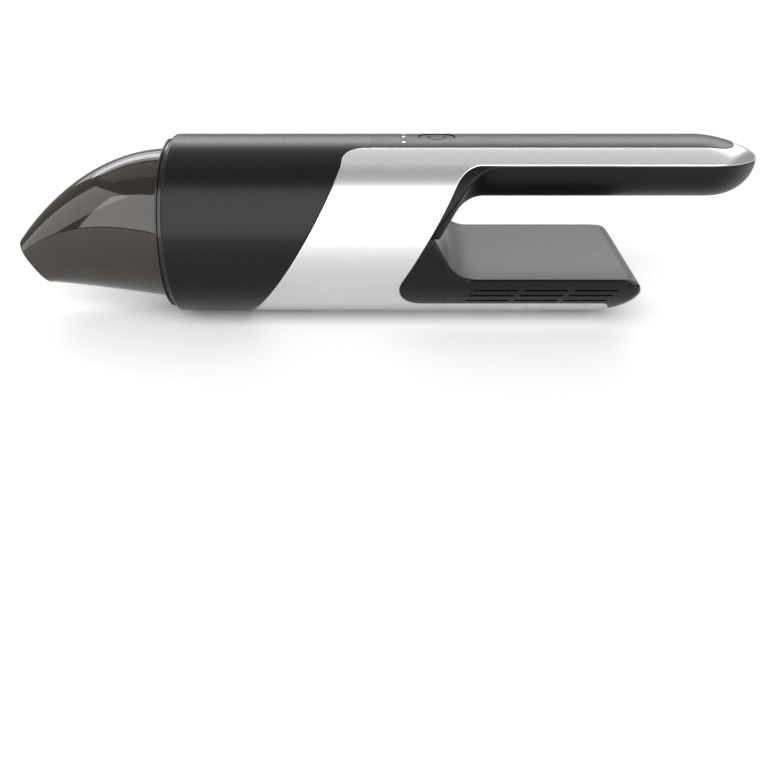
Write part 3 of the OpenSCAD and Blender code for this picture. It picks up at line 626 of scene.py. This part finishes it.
handle_end = [np.array([X_END - END_ROUND + END_ROUND * math.cos(a),
                        GRIP_HALF * math.sin(a) ** (2 * END_POWER)])
              for a in np.radians(np.linspace(3, 90, 48))]
throat_corner = corner_arc([FAR_X, PARTING_Z], [rear_edge(PARTING_Z), PARTING_Z], [rear_edge(0), 0],
                           THROAT_CORNER_R, 20)
tray_corner = corner_arc([rear_edge(0), 0], [rear_edge(TRAY_Z), TRAY_Z], [FAR_X, TRAY_Z], TRAY_CORNER_R, 16)
tray_tip = corner_arc([FAR_X, TRAY_Z], [TRAY_END_X, TRAY_Z], [TRAY_END_X, -60], TRAY_END_R, 10)
slant_down = [np.array([rear_edge(z), z]) for z in np.linspace(throat_corner[-1][1], tray_corner[0][1], 30)]
slant_up = [np.array([front_edge(z), z]) for z in np.linspace(-R * 0.9999, PARTING_Z + 0.2, 60)]
shell_corner = corner_arc(SHOULDER, CORNER, [FAR_X, STRIP_HALF], SHELL_CORNER_R, 20)
strip_end = [np.array([STRIP_ROUND_X + (STRIP_TIP_X - STRIP_ROUND_X) * math.sin(a) ** STRIP_POWER,
                       STRIP_HALF * math.cos(a) ** STRIP_POWER])
             for a in np.radians(np.linspace(0, 89.6, 32))]
silver_outline = (shell_corner + strip_end + [np.array([X_END, 0.0])] + handle_end
                  + side_points(throat_corner + slant_down + tray_corner + tray_tip)
                  + [np.array([TRAY_END_X, V_MAX]), np.array([front_edge(-R), V_MAX])]
                  + side_points(slant_up))


def silver_radius(p):
    if p[1] < 0.3 or p[1] > V_MAX - 0.3:
        return 0.1
    if p[0] > STRIP_SEAM_X and p[1] < STRIP_HALF + 0.5:
        return 0.35
    return 0.55


def strip_radius(p):
    return 0.03 if p[0] < STRIP_SEAM_X + 0.2 else 0.3


tail_columns = X_END - 0.4 - 34 * (1 - np.cos(np.radians(np.linspace(0, 90, 40))))
columns = np.concatenate([np.arange(-80, X_END - 34.6, 3.0), tail_columns[::-1]])
for side, word in ((-1, "left"), (1, "right")):
    piece = panel("shell_" + word, lambda x, v, s=side: shell_surface(x, s * np.abs(v)), silver_outline,
                  columns=columns, rows=np.arange(0.8, V_MAX, 1.6), radii=silver_radius, r=0.5)
    put(piece, "body", MAT["silver_shell"], ["side_shell_" + word])

strip_outline = ([np.array([STRIP_SEAM_X, STRIP_HALF]), np.array([STRIP_SEAM_X, -STRIP_HALF])]
                 + [p * [1, -1] for p in strip_end] + [p for p in strip_end[::-1]])
button_hole = round_outline(BUTTON_X, 0, BUTTON_R + 0.3, 72)
led_holes = [round_outline(LED_X, y, LED_R + 0.1, 18) for y in LED_YS]
strip = panel("top_strip_skin", shell_surface, strip_outline, [button_hole] + led_holes, columns=columns,
              rows=np.arange(-STRIP_HALF, STRIP_HALF, 1.3), radii=strip_radius, r=0.35, gap=0.03)
put(strip, "body", MAT["strip_plastic"], ["top_strip"])

# ---------------------------------------------------------------- front barrel

edge_up = side_points(slant_up)
half_edge = edge_up + shell_corner + [np.array([STRIP_SEAM_X, STRIP_HALF])]
barrel_outline = ([np.array([X_FRONT, -V_MAX])] + [p * [1, -1] for p in half_edge] + half_edge[::-1]
                  + [np.array([X_FRONT, V_MAX])])


def barrel_radius(p):
    if abs(p[1]) > V_MAX - 0.3 and p[0] > X_FRONT + 1:
        return 0.02
    if p[0] < X_FRONT + 1:
        return 2.2
    return 0.03 if abs(p[1]) < STRIP_HALF + 0.1 and p[0] > STRIP_SEAM_X - 0.1 else 0.3


barrel = panel("barrel_skin", shell_surface, barrel_outline, radii=barrel_radius, depth=3.0, gap=0.03,
               columns=np.arange(X_FRONT + 3, 0, 3.0), rows=np.arange(-V_MAX + 1, V_MAX - 0.5, 1.8))
put(barrel, "body", MAT["black_shell"], ["front_housing"])
LINING_START, LINING_STEP_X, LINING_END = X_FRONT + 0.6, -72, 8
lining_profile = [(LINING_START, R - 3.02), (LINING_START, R - 2.2), (LINING_END, R - 2.5),
                  (LINING_END, R - 5), (LINING_STEP_X, R - 5), (LINING_STEP_X, R - 3.02)]
lining = lathe("barrel_lining", soft_corners(lining_profile, 0.2, 2))
put(lining, "body", MAT["black_shell"])

# ---------------------------------------------------------------- rear block

RIM_R, RIM_DEPTH, PLATE_HALF = 1.5, 1.8, 43.0


def block_point(side, x, z):
    """A point on the block's side or rear, as (distance round the block, distance round the barrel)."""
    half, rear, radius = block_lengths(z)
    if x > rear - radius:
        t = half - radius + radius * math.acos(min(1.0, max(0.0, (x - rear + radius) / radius)))
    else:
        t = block_t(x, z)
    return np.array([side * float(t), float(v_of_z(z))])


def lowered(line):
    """The rim's line: a little below the plate's own line, more where the side leans outwards."""
    line = np.array(line, float)
    along = unit(np.gradient(line, axis=0))
    up = np.stack([-along[:, 1], along[:, 0]], -1)
    up[up[:, 1] < 0] *= -1
    drop = 0.12 + np.clip(-line[:, 1] / R, 0, 1) * (RIM_R + 0.2)
    return line - up * drop[:, None]


REAR_RIM_Z = BLOCK_Z - 3.4
rim_line = lowered([p for p in PLATE_LINE if p[1] > REAR_RIM_Z + 0.2 or p[0] < 100])
rim_line = [p for p in rim_line if p[0] < float(block_profile_x(REAR_RIM_Z)) - REAR_ROUND]
bottom_z = BLOCK_Z - BLOCK_CORNER - (R + BLOCK_Z - BLOCK_CORNER) * math.sqrt(
    1 - ((TRAY_END_X - BLOCK_END + BLOCK_ROUND) / BLOCK_ROUND) ** 2)
tip_down = [np.array([TRAY_END_X, z]) for z in np.linspace(tray_tip[-1][1], bottom_z + 0.15, 8)[1:]]
front_path = ([np.array([rear_edge(APEX_Z), APEX_Z])] + rim_line)
lower_path = [p for p in slant_down if p[1] < APEX_Z - 0.2] + tray_corner + tray_tip + tip_down
half_rear = float(block_t(float(block_profile_x(REAR_RIM_Z)) - REAR_ROUND, REAR_RIM_Z))
v_rear_rim = float(v_of_z(REAR_RIM_Z))
block_outline = ([block_point(-1, *p) for p in front_path]
                 + [np.array([-half_rear, v_rear_rim]), np.array([half_rear, v_rear_rim])]
                 + [block_point(1, *p) for p in front_path[::-1]]
                 + [block_point(1, *p) for p in lower_path]
                 + [block_point(-1, *p) for p in lower_path[::-1]])
SLOT_X, SLOT_LEN, SLOT_H, SLOT_ROUND, SLOT_PITCH = 47.7, 22.8, 1.1, 0.5, 25.9
SLOT_ROWS, SLOT_ROW_PITCH = (-22.6, -26.3, -30.4), 3.9
slots = []
for side in (-1, 1):
    for row, z in enumerate(SLOT_ROWS):
        for column in range(3):
            x0 = SLOT_X - row * SLANT * SLOT_ROW_PITCH + column * SLOT_PITCH
            turns = np.radians(np.linspace(0, 180, 7))
            ends = [(x0 + SLOT_LEN - SLOT_ROUND + SLOT_ROUND * math.sin(a), z + SLOT_H / 2 * math.cos(a))
                    for a in turns]
            ends += [(x0 + SLOT_ROUND - SLOT_ROUND * math.sin(a), z - SLOT_H / 2 * math.cos(a))
                     for a in turns]
            slots.append([block_point(side, *p) for p in ends])
SOCKET_Z, SOCKET_R = -27.0, 4.3
socket_hole = [np.array([SOCKET_R * math.cos(a), float(v_of_z(SOCKET_Z + SOCKET_R * math.sin(a)))])
               for a in np.radians(np.arange(0, 360, 10))]
v_rim, v_low = float(v_of_z(APEX_Z)), float(v_of_z(bottom_z))


def block_radius(p):
    z = float(z_of_v(p[1]))
    on_top = z > BLOCK_Z - 1.6 and not near_slant(p, z)
    return RIM_R if on_top or z > REAR_RIM_Z - 0.1 and abs(p[0]) < 60 else 0.3


def near_slant(p, z):
    return abs(abs(p[0]) - abs(float(block_t(rear_edge(z), z)))) < 0.3


block = panel("block_skin", block_surface, block_outline, slots + [socket_hole], r=0.15, depth=RIM_DEPTH,
              columns=np.arange(-160, 160, 2.0), rows=np.arange(v_rim, v_low, 1.3), radii=block_radius,
              out=REARWARD)
put(block, "body", MAT["black_shell"], ["block_housing"])

PLATE_LOW_Z, PLATE_START = BLOCK_Z - 2.9, 0.4
plate_end = float(PLATE_S[np.argmax(PLATE_LINE[:, 1] < PLATE_LOW_Z)])
plate_corners = [(PLATE_START, -PLATE_HALF), (plate_end, -PLATE_HALF), (plate_end, PLATE_HALF),
                 (PLATE_START, PLATE_HALF)]
plate = panel("block_plate", plate_surface, soft_corners(plate_corners, 3.5, 8), r=0.45, depth=1.9, gap=0.0,
              step=1.5, columns=np.arange(0, plate_end, 1.2), rows=np.arange(-PLATE_HALF, PLATE_HALF, 6.0),
              out=UP)
put(plate, "body", MAT["plate_plastic"], ["block_top_plate"])


# ---------------------------------------------------------------- grip liner

def soft_max(a, b, k):
    h = np.clip(0.5 + 0.5 * (a - b) / k, 0, 1)
    return b * (1 - h) + a * h + k * h * (1 - h)


def soft_min(a, b, k):
    return -soft_max(-a, -b, k)


LEAN = math.atan(SLANT)
SAGITTA = BULGE * math.cos(LEAN)
COLUMN_R = (R * R + SAGITTA ** 2) / (2 * SAGITTA)
COLUMN_X = REAR_X + BULGE - COLUMN_R / math.cos(LEAN)
ROOM_HALF, ROOM_Z, ROOM_END = 14.5, 34.5, 60
LINER_INSET, LINER_TOP_Z, BAR_POWER, BAR_BLEND = 0.45, 46, 0.87, 9.0


def liner_field(x, y, z):
    """Below zero inside the grip liner: leaning column and handle bar, blended."""
    across = (x - COLUMN_X) * math.cos(LEAN) - z * math.sin(LEAN)
    column = np.sqrt(across ** 2 + y ** 2) - COLUMN_R
    skin = np.sqrt(y ** 2 + z ** 2) - (R - LINER_INSET)
    throat = soft_max(column, skin, 2.0)
    seam = seam_z(x)
    under = np.where(x > TAIL_X, TIP_Z - (TIP_Z - GRIP_Z) * np.sqrt(
        np.clip(1 - np.clip((x - TAIL_X) / (X_END - 0.1 - TAIL_X), 0, 1) ** 2, 0, 1)), GRIP_Z)
    half = np.maximum(0.985 * GRIP_HALF * end_taper(x + 0.25), 0.05)
    deep = np.maximum(seam - under, 0.05)
    power = 2 / BAR_POWER
    ring = ((np.abs(y) / half) ** power + (np.clip(seam - z, 0, None) / deep) ** power) ** (1 / power)
    bar = (ring - 1) * np.maximum(np.minimum(half, deep), 3.0)
    bar = np.maximum(bar, rear_edge(z) + 2 - x)
    body = soft_min(throat, bar, BAR_BLEND)
    body = soft_max(body, skin, 1.0)
    lid = z - seam - np.clip((DROOP_X + 3 - x) / 20, -0.06, 0.7)
    body = np.maximum(body, np.where(x > rear_edge(PARTING_Z) + 8, lid, z - LINER_TOP_Z))
    body = np.maximum(body, rear_edge(z) - 5 - x)
    # The room under the strip that holds the board and the button
    room = np.maximum(np.maximum(np.abs(y) - ROOM_HALF, ROOM_Z - z), x - ROOM_END)
    return np.maximum(np.maximum(body, -room), BLOCK_Z + 1 - z)


def level_surface(field, lo, hi, pitch):
    """Points, faces and normals of the field's zero surface: one point in each crossed cell of a grid."""
    axes = [np.arange(a, b + pitch, pitch) for a, b in zip(lo, hi)]
    grid = np.meshgrid(*axes, indexing="ij")
    value = field(*grid)
    shape = np.array(value.shape)
    total, number = np.zeros((*(shape - 1), 3)), np.zeros(shape - 1)
    crossings = []
    for axis in range(3):
        low = [slice(None)] * 3
        high = [slice(None)] * 3
        low[axis], high[axis] = slice(0, -1), slice(1, None)
        a, b = value[tuple(low)], value[tuple(high)]
        hit = (a < 0) != (b < 0)
        index = np.argwhere(hit)
        part = (a / np.where(a == b, 1, a - b))[hit]
        spot = index.astype(float)
        spot[:, axis] += part
        others = [k for k in range(3) if k != axis]
        good = np.all([(index[:, k] > 0) & (index[:, k] < shape[k] - 1) for k in others], axis=0)
        index, spot, positive = index[good], spot[good], (a < 0)[hit][good]
        for da in (0, 1):
            for db in (0, 1):
                cell = index.copy()
                cell[:, others[0]] -= da
                cell[:, others[1]] -= db
                np.add.at(total, tuple(cell.T), spot)
                np.add.at(number, tuple(cell.T), 1)
        crossings.append((index, positive, others, axis))
    live = number > 0
    ids = np.full(live.shape, -1)
    ids[live] = np.arange(live.sum())
    points = total[live] / number[live][:, None] * pitch + np.array(lo)
    faces = []
    for index, positive, others, axis in crossings:
        quad = []
        for da, db in ((0, 0), (1, 0), (1, 1), (0, 1)):
            cell = index.copy()
            cell[:, others[0]] -= da
            cell[:, others[1]] -= db
            quad.append(ids[tuple(cell.T)])
        quad = np.stack(quad, -1)
        swap = positive if axis != 1 else ~positive
        faces.append(np.where(swap[:, None], quad, quad[:, ::-1]))
    faces = np.concatenate(faces)

    def slope(p, h=0.05):
        return np.stack([(field(*(p + h * e).T) - field(*(p - h * e).T)) / (2 * h) for e in np.eye(3)], -1)

    for _ in range(4):
        g = slope(points)
        step = field(*points.T) / np.maximum(np.sum(g * g, -1), 0.2)
        points = points - g * np.clip(step, -0.5, 0.5)[:, None]
    return points, faces, unit(slope(points))


LINER_LOW, LINER_HIGH, LINER_PITCH = (8, -49, -17), (X_END + 1, 49, 47.5), 1.0
liner_points, liner_faces, liner_normals = level_surface(liner_field, LINER_LOW, LINER_HIGH, LINER_PITCH)
liner_points[:, 0] = np.minimum(liner_points[:, 0], X_END)
liner = make("grip_liner_skin", liner_points, liner_faces, liner_normals)
put(liner, "body", MAT["grip"], ["grip_liner"])

# ---------------------------------------------------------------- nose and collar

NOSE_R, NOSE_T, MOUTH_HALF = 40.5, 2.0, 14.5
NOSE_BACK = X_FRONT - 3.2
TIP_POINT, LOW_POINT = np.array([X_NOSE, -7.8]), np.array([X_NOSE + 16.2, -32.9])
AROUND = 144


def nose_ring(t, g):
    """Ring of the nose at share t of its length from the collar to the mouth, g inside its outer surface."""
    s = math.sin(math.pi / 2 * t)
    top = np.array([NOSE_BACK + (TIP_POINT[0] - NOSE_BACK) * s,
                    TIP_POINT[1] + (NOSE_R - TIP_POINT[1]) * max(0.0, 1 - s * s) ** 0.95])
    low = np.array([NOSE_BACK + (LOW_POINT[0] - NOSE_BACK) * s,
                    -NOSE_R + (LOW_POINT[1] + NOSE_R) * s ** 1.08])
    mid, reach = (top + low) / 2, np.linalg.norm(top - low) / 2
    up = unit(top - low) * (reach - g)
    half = NOSE_R + (MOUTH_HALF - NOSE_R) * s ** 1.05 - g
    e = 2 / (2 + 0.72 * t * t)
    a = 2 * np.pi * np.arange(AROUND) / AROUND
    c = np.sign(np.cos(a)) * np.abs(np.cos(a)) ** e
    w = np.sign(np.sin(a)) * np.abs(np.sin(a)) ** e
    return np.stack([mid[0] + up[0] * c, half * w, mid[1] + up[1] * c], -1)


def loft(name, rings, sharp):
    """A closed tube through the rings, the last joined to the first."""
    n = len(rings[0])
    faces = []
    for k in range(len(rings)):
        a, b = k * n, ((k + 1) % len(rings)) * n
        faces += [(a + i, b + i, b + (i + 1) % n, a + (i + 1) % n) for i in range(n)]
    piece = make(name, np.concatenate(rings), faces)
    turn_out(piece)
    piece.data.set_sharp_from_angle(angle=math.radians(sharp))
    return piece


def circle_ring(x, r):
    a = 2 * np.pi * np.arange(AROUND) / AROUND
    return np.stack([x + 0 * a, r * np.sin(a), r * np.cos(a)], -1)


steps = 1 - (1 - np.linspace(0, 1, 60)) ** 1.3
nose_rings = [circle_ring(NOSE_BACK + 10, NOSE_R - 0.2), circle_ring(NOSE_BACK + 2, NOSE_R - 0.1)]
nose_rings += [nose_ring(t, 0) for t in steps[:-1]]
lip = [(0.999, 0.05), (1, 0.25), (1, 0.6), (1, NOSE_T - 0.5), (0.999, NOSE_T - 0.1)]
nose_rings += [nose_ring(t, g) for t, g in lip]
nose_rings += [nose_ring(t, NOSE_T) for t in steps[:-1][::-1]]
nose_rings += [circle_ring(NOSE_BACK + 2, NOSE_R - NOSE_T),
               circle_ring(NOSE_BACK + 10, NOSE_R - NOSE_T + 0.1)]
nose = loft("nose_shell", nose_rings, 40)
put(nose, "cup", MAT["smoked_clear"], ["dust_cup"])

SLEEVE_R, FLANGE_R, FLANGE_T = R - 3.4, R - 2.4, 1.1
GROOVE_X, GROOVE_END, GROOVE_R = X_FRONT + 5, X_FRONT + 8, SLEEVE_R - 1.3
COLLAR_END, COLLAR_STEP_X, COLLAR_STEP_R = X_FRONT + 11, X_FRONT + 7.4, NOSE_R + 1.6
collar_profile = [(NOSE_BACK, NOSE_R + 0.1), (NOSE_BACK, FLANGE_R), (NOSE_BACK + FLANGE_T, FLANGE_R),
                  (NOSE_BACK + FLANGE_T, SLEEVE_R), (GROOVE_X, SLEEVE_R), (GROOVE_X, GROOVE_R),
                  (GROOVE_END, GROOVE_R), (GROOVE_END, SLEEVE_R), (COLLAR_END, SLEEVE_R),
                  (COLLAR_END, COLLAR_STEP_R), (COLLAR_STEP_X, COLLAR_STEP_R), (COLLAR_STEP_X, NOSE_R + 0.1)]
collar = lathe("collar_skin", soft_corners(collar_profile, 0.45, 5))
put(collar, "cup", MAT["collar_black"], ["collar_ring"])


# ---------------------------------------------------------------- button and lamps

RING_R, RING_GAP = 4.4, 0.15
cap = panel("button_cap", button_surface, round_outline(BUTTON_X, 0, BUTTON_R, 72),
            [round_outline(BUTTON_X, 0, RING_R + RING_GAP, 48)], r=0.3, depth=1.2, gap=0, step=1.5,
            columns=np.arange(10, 50, 1.5), rows=np.arange(-12, 12, 1.5), out=UP)
put(cap, "button", MAT["strip_plastic"], ["power_button"])
centre = panel("button_centre", button_surface, round_outline(BUTTON_X, 0, RING_R - RING_GAP, 48), r=0.3,
               depth=1.2, gap=0, step=1.2, columns=np.arange(20, 40, 1.0), rows=np.arange(-6, 6, 1.0), out=UP)
put(centre, "button", MAT["strip_plastic"])


def upright(name, cx, cy, profile, turns, sharp=30):
    """A closed piece turned about an upright line from (radius, height) points, closed at both ends."""
    points, faces, n = [], [], len(profile)
    for k in range(turns):
        a = 2 * math.pi * k / turns
        points += [(cx + r * math.cos(a), cy + r * math.sin(a), z) for r, z in profile]
    for k in range(turns):
        a, b = k * n, ((k + 1) % turns) * n
        faces += [(a + i, b + i, b + i + 1, a + i + 1) for i in range(n - 1)]
    low, high = len(points), len(points) + 1
    points += [(cx, cy, profile[0][1]), (cx, cy, profile[-1][1])]
    for k in range(turns):
        a, b = k * n, ((k + 1) % turns) * n
        faces += [(low, b, a), (high, a + n - 1, b + n - 1)]
    piece = make(name, points, faces)
    turn_out(piece)
    piece.data.set_sharp_from_angle(angle=math.radians(sharp))
    return piece


button_top = R - BUTTON_DROP
STEM_R, LEDGE_R, SLEEVE_IN_R = 2.0, BUTTON_R + 1.0, BUTTON_R - 0.1
STEM_Z, LEDGE_Z, LEDGE_TOP_Z = 42.0, 43.0, 44.1
stem_profile = [(STEM_R, STEM_Z), (STEM_R, LEDGE_Z), (LEDGE_R, LEDGE_Z), (LEDGE_R, LEDGE_TOP_Z),
                (SLEEVE_IN_R, LEDGE_TOP_Z), (SLEEVE_IN_R, button_top - 1.9)]
base = upright("button_stem", BUTTON_X, 0, stem_profile, 64)
put(base, "button", MAT["switch_black"])
for i, y in enumerate(LED_YS):
    crown = math.sqrt(R * R - y * y)
    dome = [(LED_R * math.cos(a), crown - 0.35 + 0.3 * math.sin(a))
            for a in np.radians(np.linspace(0, 85, 7))]
    lamp = upright("led_lens_%d" % (i + 1), LED_X, y, [(LED_R, crown - 4)] + dome, 32)
    put(lamp, "body", MAT["led_blue"], ["led_lenses"] if i == 0 else ())

# ---------------------------------------------------------------- floor, light and camera


def floor_piece():
    """A floor that turns up into a wall far behind the part, in metres."""
    size, near, far, bend, rise = 4.0, -2.0, 3.0, 0.6, 1.6
    line = [(near, 0.0), (far - 0.1, 0.0), (far, 0.0)]
    line += [(far + bend * math.sin(a), bend - bend * math.cos(a))
             for a in np.radians(np.linspace(6, 90, 14))]
    line += [(far + bend, rise)]
    points = [(x, y, z) for y, z in line for x in (-size, size)]
    faces = [(2 * i, 2 * i + 1, 2 * i + 3, 2 * i + 2) for i in range(len(line) - 1)]
    mesh = bpy.data.meshes.new("floor")
    mesh.from_pydata(points, [], faces)
    mesh.polygons.foreach_set("use_smooth", [True] * len(mesh.polygons))
    floor = bpy.data.objects.new("floor", mesh)
    scene.collection.objects.link(floor)
    white = finish_material("floor_white", (0.62, 0.62, 0.62), 0.6, shade=0.01, shade_size=0.3, spec=0.2)
    floor.data.materials.append(white)


def area_light(name, spot, target, wide, high, power):
    """A white soft box: place, aim and sides in metres, power in watts."""
    lamp = bpy.data.lights.new(name, "AREA")
    lamp.shape, lamp.size, lamp.size_y, lamp.energy = "RECTANGLE", wide, high, power
    piece = bpy.data.objects.new(name, lamp)
    piece.location = spot
    piece.rotation_euler = (Vector(target) - Vector(spot)).to_track_quat("-Z", "Y").to_euler()
    scene.collection.objects.link(piece)


floor_piece()
AIM = (0.0, 0.0, AXIS_Z * 0.001)
area_light("front_box", (0.0, -0.95, 0.76), (0, 0.013, 0.49), 4.2, 1.48, 74)
area_light("left_box", (-1.7, -0.25, 0.62), AIM, 1.0, 1.2, 9)
area_light("back_box", (0.0, 1.3, 0.95), AIM, 3.2, 0.9, 19)
area_light("roof_box", (0.0, 0.45, 1.4), AIM, 3.2, 0.8, 4)
area_light("floor_wash", (0.0, 1.75, 1.3), (0, 1.6, 0), 4.0, 0.7, 30)
world = bpy.data.worlds.new("studio")
world.use_nodes = True
sky = world.node_tree.nodes["Background"]
sky.inputs["Color"].default_value = (0.8, 0.81, 0.82, 1)
sky.inputs["Strength"].default_value = 0.5
scene.world = world
scene.view_settings.view_transform = "Standard"

lens = bpy.data.cameras.new("view")
lens.lens, lens.sensor_width, lens.shift_y = 44.49, 36.0, -0.0747
lens.clip_start, lens.clip_end = 0.01, 20
camera = bpy.data.objects.new("view", lens)
camera.location = (0.0025, -0.5008, 0.2222)
camera.rotation_euler = (math.radians(64.49), 0, 0)
scene.collection.objects.link(camera)
scene.camera = camera
